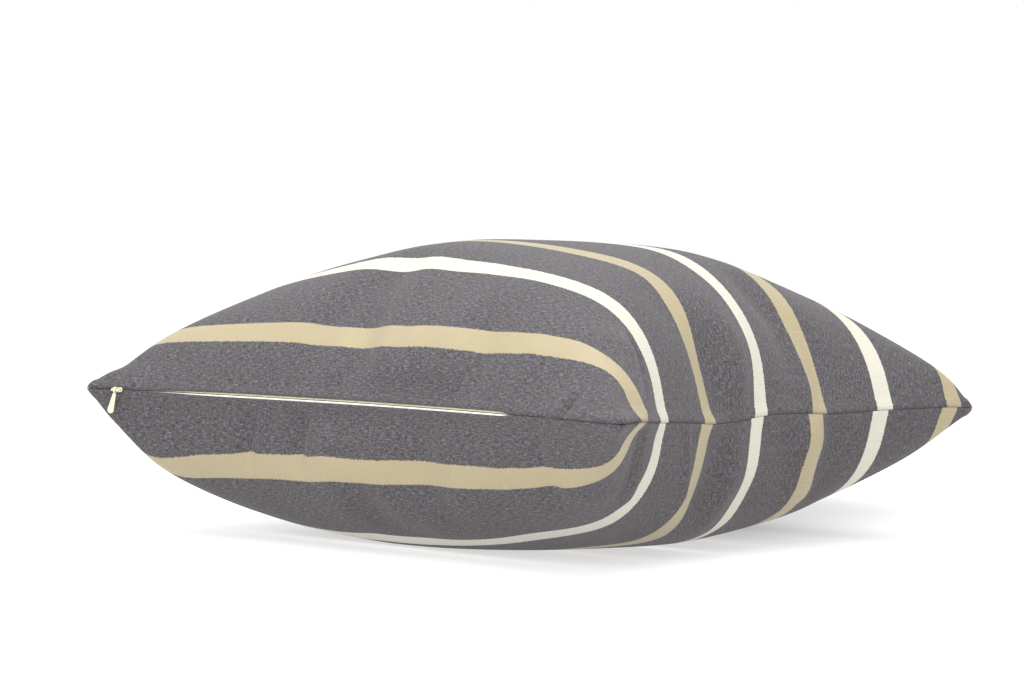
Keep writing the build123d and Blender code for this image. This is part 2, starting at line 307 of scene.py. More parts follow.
rightSeam = {
    # the right side leaves its arc: share of the way round it, then metres along X, along Y and up
    "share": (0.0, 0.098, 0.239, 0.38, 0.52, 0.66, 0.80, 0.94, 1.0),
    "out": (0.003, 0.0025, -0.0120, -0.0115, -0.0120, -0.0095, -0.0040, 0.0035, 0.002),
    "round": (0.0, 0.0, -0.0040, -0.0035, -0.0033, -0.0025, -0.0008, 0.002, 0.002),
    "rise": (0.0, 0.0, -0.0028, -0.0052, -0.0044, -0.0030, -0.0005, 0.001, -0.001),
}


def drawnIn(share):
    return np.stack([np.interp(share, rightSeam["share"], rightSeam[name])
                     for name in ("out", "round", "rise")], axis=1)


def fitToSeams(piece):
    # eases the four seams onto their lines, and carries the cloth beside them along
    half = shape["flatHalf"]
    co = readCo(piece.data)
    co[:, 2] -= co[:, 2].min()
    place = clothPlace(piece.data)
    for quarter in range(4):
        u, v = place[:, 0], place[:, 1]
        for turn in range(quarter):
            u, v = v, -u
        onSeam = np.abs(v + half) < onEdge
        order = np.argsort(u[onSeam])
        along = u[onSeam][order]
        goal = arcPoint(along * arcHalf / half, quarter=quarter)
        goal[:, 2] += seamDrift(along, quarter)
        if quarter == 1:
            goal += drawnIn((along + half) / (2 * half))
        pull = goal - co[onSeam][order]
        share = np.exp(-((v + half) / stuffing["seamReach"]) ** 2)
        for axis in range(3):
            co[:, axis] += share * np.interp(u, along, pull[:, axis])
    writeCo(piece.data, co)


earFill = {
    # panel and ear: how much fuller the stuffed ear is than the bare cloth, and how far in
    (0, "left"): (-0.0020, 0.050),
    (0, "near"): (0.0040, 0.022),
    (0, "right"): (0.0060, 0.030),
    (0, "far"): (0.0050, 0.030),
    (1, "left"): (0.0150, 0.075),
    (1, "near"): (0.0040, 0.022),
    (1, "right"): (0.0015, 0.030),
    (1, "far"): (0.0050, 0.030),
}
earShape = {
    "sides": {"left": (-1, -1), "near": (1, -1), "right": (1, 1), "far": (-1, 1)},
    "edge": (0.016, 0.6),       # the filling fades out near the seams: least width, share of the way in
    "tip": 0.0034,              # the ears' points are blunt
    "tipPeak": 0.006,
    "tipEdge": 0.0035,
    "tipIn": 0.0016,
    "pointCut": 0.6,
    "nextReach": 1.2,           # in cells, far enough to find the seam's next points
}
wallShape = {
    # beside the zip the folded cloth and its tape hold the wall up
    "inward": 0.30,
    "rise": 0.95,
    "holds": (0.005, 0.024),
    "share": 0.85,
    "fades": (0.020, 0.065),    # towards the ears at either end of the zip side
}


def firmUp(piece, panel):
    # fills the ears out, and stands the wall beside the zip upright
    co = readCo(piece.data)
    place = clothPlace(piece.data)
    side = 1 if panel == 0 else -1
    half = shape["flatHalf"]
    edge = half - np.abs(place).max(axis=1)
    for ear, signs in earShape["sides"].items():
        amount, peak = earFill[panel, ear]
        away = half - place * signs
        fromEar = np.hypot(away[:, 0], away[:, 1])
        broad = fromEar / peak
        blunt = fromEar / earShape["tipPeak"]
        fade = smooth(edge, 0, np.maximum(earShape["edge"][0], earShape["edge"][1] * fromEar))
        co[:, 2] += side * amount * broad * np.exp(1 - broad) * fade
        tipFade = smooth(edge, 0, earShape["tipEdge"])
        co[:, 2] += side * earShape["tip"] * blunt * np.exp(1 - blunt) * tipFade
        drawn = earShape["tipIn"] * np.exp(-(fromEar / earShape["tipPeak"]) ** 2)
        co[:, 0] -= signs[0] * drawn
        co[:, 1] -= signs[1] * drawn
        # the very point is cut back towards the seam's next points on either side
        point = fromEar.argmin()
        cell = 2 * half / (math.sqrt(len(co)) - 1)
        nextTo = (fromEar > weldGap) & (fromEar < earShape["nextReach"] * cell)
        beside = np.flatnonzero(nextTo & (edge < weldGap))
        co[point] += (co[beside].mean(axis=0) - co[point]) * earShape["pointCut"]
    width = place[:, 1] + half
    along = place[:, 0] * arcHalf / half
    wall = arcPoint(along, width * wallShape["inward"], side * width * wallShape["rise"])
    share = wallShape["share"] * (1 - smooth(width, *wallShape["holds"]))
    share *= smooth(half + place[:, 0], 0.0, wallShape["fades"][0])
    share = (share * smooth(half - place[:, 0], 0.0, wallShape["fades"][1]))[:, None]
    co = co * (1 - share) + wall * share
    co[:, 2] = np.maximum(co[:, 2], 0)
    writeCo(piece.data, co)


def stuffCover():
    cells = stuffing["cells"]
    piece = sewBlank(cells)
    stuff(piece)
    bm = bmesh.new()
    bm.from_mesh(piece.data)
    half = shape["flatHalf"]
    uvLayer = bm.loops.layers.uv["cloth"]
    loose = [vert for vert in bm.verts
             if max(abs(part) for part in vert.link_loops[0][uvLayer].uv) < half - onEdge]
    nearEar = Vector((half, -half))
    atEar = [vert for vert in loose
             if (vert.link_loops[0][uvLayer].uv - nearEar).length < stuffing["roundEar"]]
    for verts, rounds in ((loose, stuffing["calm"]), (atEar, stuffing["calmEar"])):
        for turn in range(rounds):
            bmesh.ops.smooth_vert(bm, verts=verts, factor=stuffing["calmShare"],
                                  use_axis_x=True, use_axis_y=True, use_axis_z=True)
    bm.to_mesh(piece.data)
    bm.free()
    co = readCo(piece.data)
    size = co.max(axis=0) - co.min(axis=0)
    print("stuffed cover", [round(float(side) * 1000) for side in size], "mm")
    fitToSeams(piece)
    return piece


def node(tree, kind, inputs=None, **settings):
    made = tree.nodes.new("ShaderNode" + kind)
    for name, value in settings.items():
        setattr(made, name, value)
    for name, value in (inputs or {}).items():
        if isinstance(value, bpy.types.NodeSocket):
            tree.links.new(value, made.inputs[name])
        else:
            made.inputs[name].default_value = value
    return made


def sums(tree, operation, *values):
    # one Math node, fed with sockets or numbers
    return node(tree, "Math", dict(enumerate(values)), operation=operation).outputs[0]


def blendColours(tree, share, first, second):
    return node(tree, "Mix", {0: share, 6: first, 7: second}, data_type="RGBA").outputs[2]


def newMaterial(name, **values):
    material = bpy.data.materials.new(name)
    material.use_nodes = True
    tree = material.node_tree
    surface = tree.nodes["Principled BSDF"]
    for socket, value in values.items():
        surface.inputs[socket].default_value = value
    return material, tree, surface


def tint(red, green, blue):
    # a colour as seen on screen, made linear
    return tuple((part / 255) ** 2.2 for part in (red, green, blue)) + (1,)


def mottle(tree, surface, share, dark, pale, height=None, strength=0.0, distance=0.0):
    # colours a surface between two tints, and gives it a fine relief
    tree.links.new(blendColours(tree, share, dark, pale), surface.inputs["Base Color"])
    if height is not None:
        bump = node(tree, "Bump", {"Height": height, "Strength": strength, "Distance": distance})
        tree.links.new(bump.outputs[0], surface.inputs["Normal"])


weave = {
    "firstStripe": 0.044,       # from the zip seam to the middle of the first stripe
    "pitch": 0.0635,
    "stripeHalf": 0.0073,
    "fray": 0.0007,             # how far a stripe's edge wanders
    "edgeBlur": 0.00025,
    "ground": tint(79, 76, 80),
    "groundPale": tint(114, 111, 116),
    "groundDark": tint(50, 48, 53),
    "groundOlive": tint(82, 78, 71),
    "beige": tint(166, 154, 125),
    # the darker beige and ivory tints are painted shade, laid between the satin's ribs
    "beigeRibShade": tint(142, 131, 104),
    "ivory": tint(202, 198, 185),
    "ivoryRibShade": tint(176, 171, 156),
    "threads": 1450,            # threads per metre
}


def clothNoise(tree, place, alongScale, acrossScale, detail=2.0):
    stretched = node(tree, "Mapping", {"Vector": place, "Scale": (alongScale, acrossScale, 1)})
    made = node(tree, "TexNoise", {"Vector": stretched.outputs[0], "Scale": 1.0, "Detail": detail},
                noise_dimensions="2D")
    return made.outputs["Fac"]


def stretchRange(tree, value, low, high, how="LINEAR"):
    made = node(tree, "MapRange", {"Value": value, "From Min": low, "From Max": high},
                interpolation_type=how)
    return made.outputs["Result"]


def stripedCloth():
    material, tree, surface = newMaterial(
        "stripedCoverCloth", **{"Sheen Weight": 0.10, "Sheen Roughness": 0.45,
                                "Specular IOR Level": 0.30})
    place = node(tree, "UVMap", uv_map="cloth").outputs["UV"]
    split = node(tree, "SeparateXYZ", {0: place})
    along, across = split.outputs[0], split.outputs[1]

    # stripes: how far each point is from the nearest stripe's middle, with frayed edges
    fraying = clothNoise(tree, place, 900, 40, 1.0)
    fraying = sums(tree, "MULTIPLY_ADD", fraying, 2 * weave["fray"], -weave["fray"])
    offset = weave["firstStripe"] - shape["flatHalf"]
    steps = sums(tree, "DIVIDE", sums(tree, "SUBTRACT", across, offset), weave["pitch"])
    nearest = sums(tree, "ROUND", steps)
    away = sums(tree, "MULTIPLY", sums(tree, "ABSOLUTE", sums(tree, "SUBTRACT", steps, nearest)),
                weave["pitch"])
    away = sums(tree, "ADD", away, fraying)
    half = weave["stripeHalf"]
    blur = weave["edgeBlur"]
    stripe = stretchRange(tree, away, half + blur, half - blur)
    odd = sums(tree, "PINGPONG", nearest, 1.0)

    # ground: yarns of mixed greys, flecked with olive
    slub = clothNoise(tree, place, 240, 1500, 3.0)
    cross = clothNoise(tree, place, 760, 560, 3.0)
    patch = clothNoise(tree, place, 90, 420, 3.0)
    mixed = sums(tree, "ADD", sums(tree, "MULTIPLY", slub, 0.55), sums(tree, "MULTIPLY", cross, 0.45))
    pale = stretchRange(tree, mixed, 0.50, 0.70)
    dark = stretchRange(tree, mixed, 0.49, 0.30)
    ground = blendColours(tree, pale, weave["ground"], weave["groundPale"])
    ground = blendColours(tree, dark, ground, weave["groundDark"])
    olive = sums(tree, "MULTIPLY", stretchRange(tree, patch, 0.5, 0.70), 0.6)
    ground = blendColours(tree, olive, ground, weave["groundOlive"])

    # satin: fine ribs across each stripe, with painted shade along the ribs, broken up by the glints noise
    ribPlace = node(tree, "Mapping", {"Vector": place, "Scale": (330, 14, 1)}).outputs[0]
    ribs = node(tree, "TexWave", {"Vector": ribPlace, "Scale": 1.0, "Distortion": 1.2,
                                  "Detail": 2.0, "Detail Scale": 1.5},
                wave_type="BANDS", bands_direction="X").outputs["Fac"]
    glints = clothNoise(tree, place, 1100, 60, 2.0)
    paintedRibShade = sums(tree, "MULTIPLY", sums(tree, "MULTIPLY", ribs, glints), 0.9)
    beige = blendColours(tree, paintedRibShade, weave["beige"], weave["beigeRibShade"])
    ivory = blendColours(tree, paintedRibShade, weave["ivory"], weave["ivoryRibShade"])
    satin = blendColours(tree, odd, beige, ivory)
    tree.links.new(blendColours(tree, stripe, ground, satin), surface.inputs["Base Color"])

    rough = sums(tree, "MULTIPLY_ADD", stripe, -0.38, 0.86)
    tree.links.new(rough, surface.inputs["Roughness"])

    # relief: plain weave in the ground, satin floats standing a little proud
    threads = weave["threads"]
    grid = node(tree, "Mapping", {"Vector": place, "Scale": (threads, threads, 1)})
    parts = node(tree, "SeparateXYZ", {0: grid.outputs[0]})
    warp = sums(tree, "SINE", sums(tree, "MULTIPLY", parts.outputs[0], math.pi))
    weft = sums(tree, "SINE", sums(tree, "MULTIPLY", parts.outputs[1], math.pi))
    checks = sums(tree, "MULTIPLY", warp, weft)
    groundRelief = sums(tree, "MULTIPLY_ADD", checks, 0.25, mixed)
    satinRelief = sums(tree, "ADD", sums(tree, "MULTIPLY", ribs, 0.35), 0.9)
    clothRelief = node(tree, "Mix", {0: stripe, 2: groundRelief, 3: satinRelief}).outputs[0]
    bump = node(tree, "Bump", {"Height": clothRelief, "Strength": 0.55, "Distance": 0.0004})
    tree.links.new(bump.outputs[0], surface.inputs["Normal"])
    return material


panelShape = {
    "levels": 2,
    "thick": 0.0009,
    "plainGap": 0.00014,        # half the gap along a plain seam
    "closedGap": 0.0003,        # half the gap where the slider passes but the slit looks shut
    "slitGap": 0.0014,          # half the gap where the zip peeps through
    "lip": (0.0007, 0.0003),    # how far each panel bulges beside a seam
    "lipPlace": (0.0032, 0.0024),   # how far in that bulge stands, and its width
    "calmEdge": 0.004,          # folds and lumps fade out this near a seam
    "partReach": 0.003,         # the panels part over this much cloth
    "slitOpens": (-0.178, -0.100),
    "slitCloses": (0.110, 0.120),
    "earTrim": 0.4,             # the allowance narrows towards an ear's point
    "sewnOffset": 0.0042,       # the bottom panel's stripes miss the top's by this much
}


def slitOpening(along):
    return smooth(along, *panelShape["slitOpens"]) * (1 - smooth(along, *panelShape["slitCloses"]))


def halfGap(along):
    # half the gap between the panels, round the zip side
    slit = panelShape["closedGap"] + (panelShape["slitGap"] - panelShape["closedGap"]) * slitOpening(along)
    share = foldShare(along)
    return panelShape["plainGap"] * (1 - share) + slit * share


def sideViews(place):
    # for each side in turn: distance round it, and distance in from its seam, on the flat cloth
    u, v = place[:, 0], place[:, 1]
    views = []
    for quarter in range(4):
        views.append((u, v + shape["flatHalf"]))
        u, v = v, -u
    return views


gathers = {
    "seed": 7,
    "count": 26,                # on each side
    "middle": (-0.2, 0.2),
    "width": (0.004, 0.011),
    "reach": (0.014, 0.05),
    "lean": (-0.25, 0.25),
    "size": (-0.0006, 0.0007),
    "zipShare": 0.6,            # they are flatter beside the zip
    "crest": 0.012,             # a gather stands highest about this far in from its seam
}
lumps = {
    "count": 18,
    "middle": (-0.19, 0.19),
    "size": (-0.0011, 0.0011),
    "width": (0.028, 0.06),
}


def relief(place, panel):
    # folds, gathers and lumps of the filling, as a height along the cloth's normal
    height = np.zeros(len(place))
    rng = np.random.default_rng(gathers["seed"])
    for quarter, (along, inward) in enumerate(sideViews(place)):
        # gathers: short folds that stand off the seam and fade into the panel
        for count in range(gathers["count"]):
            middle = rng.uniform(*gathers["middle"])
            width = rng.uniform(*gathers["width"])
            reach = rng.uniform(*gathers["reach"])
            lean = rng.uniform(*gathers["lean"])
            size = rng.uniform(*gathers["size"]) * (gathers["zipShare"] if quarter == 0 else 1)
            across = (along - middle - lean * inward) / width
            rise = inward / gathers["crest"]
            height += size * np.exp(-across ** 2) * rise * np.exp(1 - rise) * np.exp(-(inward / reach) ** 2)
    for count in range(lumps["count"]):
        # broad lumps of the filling
        middle = rng.uniform(*lumps["middle"], 2)
        size = rng.uniform(*lumps["size"])
        width = rng.uniform(*lumps["width"])
        height += size * np.exp(-((place - middle) ** 2).sum(axis=1) / width ** 2)
    for fold in panelFolds[panel]:
        height += foldHeight(place, *fold)
    return height


def foldHeight(place, start, end, height, sharp, soft):
    # a crease from start to end on the flat cloth, sharp on one flank and soft on the other
    start, end = np.array(start), np.array(end)
    run = end - start
    length = np.linalg.norm(run)
    run = run / length
    rel = place - start
    along = rel @ run / length
    across = rel @ np.array([-run[1], run[0]])
    width = np.where(across > 0, soft, sharp)
    fade = smooth(along, -0.15, 0.15) * (1 - smooth(along, 0.6, 1.15))
    return height * np.exp(-(across / width) ** 2) * fade


# each fold: its start and end on the flat cloth, its height, and its widths on the sharp and soft flanks
panelFolds = [
    [   # top panel
        ((0.223, -0.172), (0.168, -0.133), 0.0052, 0.0025, 0.017),
        ((0.2145, -0.1588), (0.173, -0.133), -0.0064, 0.0075, 0.0031),
        ((0.1690, -0.2290), (0.1760, -0.212), -0.0032, 0.0028, 0.0032),
        ((0.1655, -0.2260), (0.1730, -0.204), 0.0016, 0.005, 0.004),
        ((0.126, -0.220), (0.132, -0.165), 0.0012, 0.006, 0.010),
        ((0.088, -0.221), (0.090, -0.175), -0.0012, 0.007, 0.009),
        ((-0.060, -0.221), (-0.052, -0.165), -0.0011, 0.006, 0.010),
        ((0.020, -0.221), (0.026, -0.150), -0.0010, 0.007, 0.009),
    ],
    [   # bottom panel
        ((0.223, -0.158), (0.165, -0.124), 0.0024, 0.0022, 0.006),
        ((0.223, -0.170), (0.160, -0.134), -0.0016, 0.004, 0.007),
        ((-0.092, -0.2145), (-0.101, -0.182), -0.0045, 0.0042, 0.008),
        ((-0.049, -0.2145), (-0.058, -0.180), -0.0048, 0.0042, 0.009),
        ((0.144, -0.2145), (0.138, -0.161), -0.0022, 0.006, 0.010),
        ((0.110, -0.222), (0.106, -0.170), 0.0013, 0.006, 0.010),
        ((0.222, -0.082), (0.165, -0.062), 0.0016, 0.0022, 0.006),
        ((0.222, 0.112), (0.150, 0.066), 0.0026, 0.0022, 0.010),
    ],
]


def cutPanel(stuffed, panel, name):
    # one panel of the stuffed cover, as a finer cloth of its own
    bm = bmesh.new()
    bm.from_mesh(stuffed.data)
    layer = bm.faces.layers.int["panel"]
    others = [face for face in bm.faces if face[layer] != panel]
    bmesh.ops.delete(bm, geom=others, context="FACES")
    piece = newPiece(name, bm)
    finer = piece.modifiers.new("finer", "SUBSURF")
    finer.levels = finer.render_levels = panelShape["levels"]
    finer.boundary_smooth = "PRESERVE_CORNERS"
    finer.uv_smooth = "NONE"
    return settle(piece)


def shapePanel(piece, panel):
    co = readCo(piece.data)
    place = clothPlace(piece.data)
    normals = np.empty(len(co) * 3)
    piece.data.vertices.foreach_get("normal", normals)
    lift = relief(place, panel)
    edge = np.min([inward for along, inward in sideViews(place)], axis=0)
    lift *= smooth(edge, 0.0, panelShape["calmEdge"])
    lipIn, lipWidth = panelShape["lipPlace"]
    lift += panelShape["lip"][panel] * np.exp(-((edge - lipIn) / lipWidth) ** 2)
    co += normals.reshape(-1, 3) * lift[:, None]
    # parts the panel from its neighbour along the seams
    side = 1 if panel == 0 else -1
    for quarter, (along, inward) in enumerate(sideViews(place)):
        gap = panelShape["plainGap"] + 0 * along
        if quarter == 0:
            gap = halfGap(along * arcHalf / shape["flatHalf"])
        seam = np.exp(-(inward / panelShape["partReach"]) ** 2)
        co[:, 2] += side * gap * seam
    co[:, 2] = np.maximum(co[:, 2], 0)
    writeCo(piece.data, co)


clothGrids = {}


def keepGrid(piece, panel):
    # the panel's outer face as a grid, so that what lies behind the cloth can follow it
    co = readCo(piece.data)
    normals = np.empty(len(co) * 3)
    piece.data.vertices.foreach_get("normal", normals)
    count = int(round(math.sqrt(len(co))))
    half = shape["flatHalf"]
    cell = np.rint((clothPlace(piece.data) + half) / (2 * half) * (count - 1)).astype(int)
    grid = np.zeros((count, count, 6))
    grid[cell[:, 0], cell[:, 1], :3] = co
    grid[cell[:, 0], cell[:, 1], 3:] = normals.reshape(-1, 3)
    clothGrids[panel] = grid


def onCloth(panel, u, v, depth=0.0):
    # the point that lies depth behind the panel's outer face at a place on the flat cloth
    grid = clothGrids[panel]
    half = shape["flatHalf"]
    scale = (len(grid) - 1) / (2 * half)
    column = np.clip((np.asarray(u, float) + half) * scale, 0, len(grid) - 1.001)
    row = np.clip((np.asarray(v, float) + half) * scale, 0, len(grid) - 1.001)
    left, low = column.astype(int), row.astype(int)
    across, up = (column - left)[..., None], (row - low)[..., None]
    near = grid[left, low] * (1 - across) + grid[left + 1, low] * across
    far = grid[left, low + 1] * (1 - across) + grid[left + 1, low + 1] * across
    found = near * (1 - up) + far * up
    normal = found[..., 3:] / np.linalg.norm(found[..., 3:], axis=-1, keepdims=True)
    return found[..., :3] - normal * np.asarray(depth)[..., None]


turning = {
    # how far in from the seam, and how far off it, each ring of the turned edge runs
    "plain": [(0.0009, -0.00004), (0.0030, 0.0), (0.011, 0.0)],
    # beside the zip the cloth folds back up its own wall: place on the cloth, and depth behind it
    "folded": [None, (0.0018, 0.0019), (0.0090, 0.0019)],
    "leastIn": 0.0005,
    "atPoint": 0.0012,          # the furthest in that the turned edge lies at an ear's very point
    "foldEnds": (-0.199, 0.155),
    "foldFade": 0.004,
}


def foldShare(along):
    start, end = turning["foldEnds"]
    fade = turning["foldFade"]
    return smooth(along, start - fade, start + fade) * (1 - smooth(along, end - fade, end + fade))


def turnIn(piece, panel):
    # rolls the panel's edge in at the seams, on to its seam allowance
    half = shape["flatHalf"]
    side = 1 if panel == 0 else -1
    bm = bmesh.new()
    bm.from_mesh(piece.data)
    uvLayer = bm.loops.layers.uv["cloth"]
    ringLayer = bm.verts.layers.int.new("ring")
    rims = [edge for edge in bm.edges if edge.is_boundary]
    rimPlace = {}
    for vert in {vert for edge in rims for vert in edge.verts}:
        rimPlace[vert] = (vert.link_loops[0][uvLayer].uv.copy(), vert.co.copy())
    for ring, (inward, rise) in enumerate(turning["plain"]):
        made = bmesh.ops.extrude_edge_only(bm, edges=rims)["geom"]
        fresh = [item for item in made if isinstance(item, bmesh.types.BMVert)]
        rims = [item for item in made if isinstance(item, bmesh.types.BMEdge) and item.is_boundary]
        freshPlace = {}
        for vert in fresh:
            source = next(edge.other_vert(vert) for edge in vert.link_edges
                          if edge.other_vert(vert) in rimPlace)
            place, seam = rimPlace[source]
            outX = 0 if abs(place.x) < half - onEdge else math.copysign(1, place.x)
            outY = 0 if abs(place.y) < half - onEdge else math.copysign(1, place.y)
            nearEar = half - min(abs(place.x), abs(place.y))
            depth = min(inward, nearEar * panelShape["earTrim"] + turning["leastIn"])
            if outX and outY:
                depth = min(inward, turning["atPoint"])
            lean = (place.y if outX else place.x) / arcRadius * arcHalf / half
            step = Vector((-outX, -outY, 0))
            if outX and not outY:
                step.y = lean
            elif outY and not outX:
                step.x = lean
            spot = seam + step * depth + Vector((0, 0, side * rise))
            if outY < 0 and turning["folded"][ring]:
                across, behind = turning["folded"][ring]
                back = Vector(onCloth(panel, place.x, across - half, behind))
                spot = spot.lerp(back, float(foldShare(place.x * arcHalf / half)))
            vert.co = spot
            freshPlace[vert] = (place, seam)
            vert[ringLayer] = ring + 1
        for face in {face for vert in fresh for face in vert.link_faces}:
            for loop in face.loops:
                place, seam = freshPlace.get(loop.vert) or rimPlace[loop.vert]
                inRing = loop.vert[ringLayer]
                scale = 1 + (turning["plain"][inRing - 1][0] / half if inRing else 0)
                outX = abs(place.x) > half - onEdge
                outY = abs(place.y) > half - onEdge
                loop[uvLayer].uv = (place.x * (scale if outX else 1), place.y * (scale if outY else 1))
        rimPlace = freshPlace
    if panel == 1:
        for face in bm.faces:
            for loop in face.loops:
                loop[uvLayer].uv.y += panelShape["sewnOffset"]
    for face in bm.faces:
        face.smooth = True
    bm.to_mesh(piece.data)
    bm.free()


def finishPanel(stuffed, panel, name, cadNode, material):
    piece = cutPanel(stuffed, panel, name)
    firmUp(piece, panel)
    shapePanel(piece, panel)
    keepGrid(piece, panel)
    turnIn(piece, panel)
    cloth = piece.modifiers.new("cloth", "SOLIDIFY")
    cloth.thickness = panelShape["thick"]
    cloth.offset = -1
    piece.data.materials.clear()
    piece.data.materials.append(material)
    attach(piece, "cover")
    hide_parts(cadNode)
    print(name, len(piece.data.vertices), "points")
    return piece


def gridPiece(name, alongCells, acrossCells, shapeOf):
    # a sheet of cells whose points shapeOf places, given two numbers from 0 to 1
    bm = bmesh.new()
    bmesh.ops.create_grid(bm, x_segments=alongCells, y_segments=acrossCells, size=0.5)
    uvLayer = bm.loops.layers.uv.new("cloth")
    flat = np.array([vert.co.xy for vert in bm.verts]) + 0.5
    spots, places = shapeOf(flat[:, 0], flat[:, 1])
    for vert, spot, place in zip(bm.verts, spots, places):
        vert.co = spot
        for loop in vert.link_loops:
            loop[uvLayer].uv = place
    for face in bm.faces:
        face.smooth = True
    return newPiece(name, bm)


def thicken(piece, thick, offset=-1):
    wall = piece.modifiers.new("thickness", "SOLIDIFY")
    wall.thickness = thick
    wall.offset = offset
    return piece


def dress(piece, material, body, slotName, *nodes):
    piece.data.materials.clear()
    piece.data.materials.append(material)
    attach(piece, body)
    if nodes:
        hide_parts(*nodes)
    return piece


def midSeam(u, v, depth):
    # half way between the points that lie this deep behind each panel's outer face
    return (onCloth(0, u, v, depth) + onCloth(1, u, v, depth)) / 2


insert = {
    "half": 0.212,              # the insert's edge, as a place on the flat cover
    "depth": 0.0034,
    "cells": 64,
    "meet": 0.030,              # the panels close on their seam over this much cloth
    "thick": 0.0005,
    "earSlack": 0.006,          # the insert stays clear of the creases at the near ear
    "earReach": 0.10,
    "fillHalf": 0.206,
    "fillDepth": 0.0052,
    "fillCells": 48,
    "fillLumps": 0.0012,
}


def stuffedFace(panel, half, depth, lumps=0.0):
    # a face of the insert or its filling: it closes on the other face round its edge
    def shapeOf(x, y):
        u, v = (x * 2 - 1) * half, (y * 2 - 1) * half
        edge = half - np.maximum(np.abs(u), np.abs(v))
        share = np.sqrt(smooth(edge, 0, insert["meet"]))[:, None]
        extra = lumps * (np.sin(u * 71 + 1.3) * np.sin(v * 83) + np.sin(u * 127 + v * 111) * 0.6)
        fromEar = np.hypot(shape["flatHalf"] - u, shape["flatHalf"] + v)
        slack = insert["earSlack"] * np.exp(-(fromEar / insert["earReach"]) ** 2)
        outer = onCloth(panel, u, v, depth + np.abs(extra) + slack)
        return midSeam(u, v, depth) * (1 - share) + outer * share, np.stack([u, v], axis=1)
    return shapeOf


def plainCotton():
    material, tree, surface = newMaterial(
        "insertCotton", **{"Roughness": 0.85, "Sheen Weight": 0.15, "Specular IOR Level": 0.3})
    place = node(tree, "UVMap", uv_map="cloth").outputs["UV"]
    yarn = clothNoise(tree, place, 500, 2100, 2.0)
    cross = clothNoise(tree, place, 2100, 500, 2.0)
    mixed = sums(tree, "MULTIPLY", sums(tree, "ADD", yarn, cross), 0.5)
    share = stretchRange(tree, mixed, 0.35, 0.65)
    mottle(tree, surface, share, tint(222, 222, 219), tint(247, 247, 245), mixed, 0.4, 0.0003)
    return material


def looseFibre():
    material, tree, surface = newMaterial(
        "polyesterFibre", **{"Roughness": 0.7, "Sheen Weight": 0.5, "Specular IOR Level": 0.3})
    place = node(tree, "TexCoord").outputs["Object"]
    tufts = node(tree, "TexNoise", {"Vector": place, "Scale": 180, "Detail": 5.0, "Distortion": 1.5})
    tufts = tufts.outputs["Fac"]
    mottle(tree, surface, tufts, tint(225, 226, 228), tint(253, 253, 253), tufts, 0.8, 0.002)
    return material


def makeInsert():
    cotton = plainCotton()
    cells = insert["cells"]
    for panel, name, cadNode in ((0, "insertTopPanel", "insert_top_panel"),
                                 (1, "insertBottomPanel", "insert_bottom_panel")):
        piece = gridPiece(name, cells, cells, stuffedFace(panel, insert["half"], insert["depth"]))
        if panel:
            piece.data.flip_normals()
        thicken(piece, insert["thick"])
        dress(piece, cotton, "cover", "insert_cloth", cadNode)
    faces = []
    for panel in (0, 1):
        shapeOf = stuffedFace(panel, insert["fillHalf"], insert["fillDepth"], insert["fillLumps"])
        face = gridPiece("fibreFace", insert["fillCells"], insert["fillCells"], shapeOf)
        if panel:
            face.data.flip_normals()
        faces.append(face)
    bm = bmesh.new()
    for face in faces:
        bm.from_mesh(face.data)
        bpy.data.objects.remove(face)
    bmesh.ops.remove_doubles(bm, verts=bm.verts, dist=weldGap)
    fill = newPiece("fibreFilling", bm)
    dress(fill, looseFibre(), "cover", "fibre", "fibre_fill")
    print("insert made")


label = {
    "middle": 0.060,            # round the left seam, from its middle
    "width": 0.030,
    "reach": 0.036,
    "depth": 0.0019,
    "thick": 0.0003,
}


def labelSatin():
    material, tree, surface = newMaterial("labelSatin", **{"Roughness": 0.45, "Sheen Weight": 0.2})
    place = node(tree, "UVMap", uv_map="cloth").outputs["UV"]
    yarn = clothNoise(tree, place, 2600, 300, 2.0)
    mottle(tree, surface, yarn, tint(226, 225, 220), tint(246, 246, 243), yarn, 0.25, 0.0002)
    return material


def makeLabel():
    def shapeOf(x, y):
        u = -shape["flatHalf"] + 0.0015 + x * label["reach"]
        v = -label["middle"] + (y - 0.5) * label["width"]
        return onCloth(0, u, v, label["depth"]), np.stack([u, v], axis=1)
    piece = gridPiece("careLabel", 24, 18, shapeOf)
    thicken(piece, label["thick"])
    dress(piece, labelSatin(), "cover", "label", "care_label")


def threadMaterial(name, dark, pale):
    material, tree, surface = newMaterial(name, **{"Roughness": 0.6, "Sheen Weight": 0.2})
    place = node(tree, "TexCoord").outputs["Object"]
    twist = node(tree, "TexNoise", {"Vector": place, "Scale": 2500, "Detail": 2.0}).outputs["Fac"]
    mottle(tree, surface, twist, dark, pale, twist, 0.4, 0.0001)
    return material


def stitchRow(name, spots, runs, length, thick):
    # one short, round-ended stitch at each spot, lying along its run
    bm = bmesh.new()
    for spot, run in zip(spots, runs):
        made = bmesh.ops.create_icosphere(bm, subdivisions=1, radius=0.5)
        turn = Vector(run).to_track_quat("X", "Z").to_matrix().to_4x4()
        size = Matrix.Diagonal((length, thick, thick, 1))
        bmesh.ops.transform(bm, matrix=Matrix.Translation(Vector(spot)) @ turn @ size, verts=made["verts"])
    for face in bm.faces:
        face.smooth = True
    return newPiece(name, bm)


def runsOf(spots, slant=None):
    runs = np.gradient(spots, axis=0)
    runs /= np.linalg.norm(runs, axis=1, keepdims=True)
    return runs if slant is None else runs + np.asarray(slant)


stitching = {
    "pitch": 0.0027,
    "long": 0.0022,
    "thick": 0.00042,
    "inward": 0.0012,
    "plainEnd": 0.188,
    "afterZip": 0.158,
    "lean": (0, 0, 0.35),
    "insertLean": (0, 0, 0.3),
    "overlockLean": (0, 0, 1.2),
    "zipLean": (0, 0.6, 0.9),
    "overlockPitch": 0.0032,
    "overlockLong": 0.0034,
    "overlockThick": 0.0006,
}


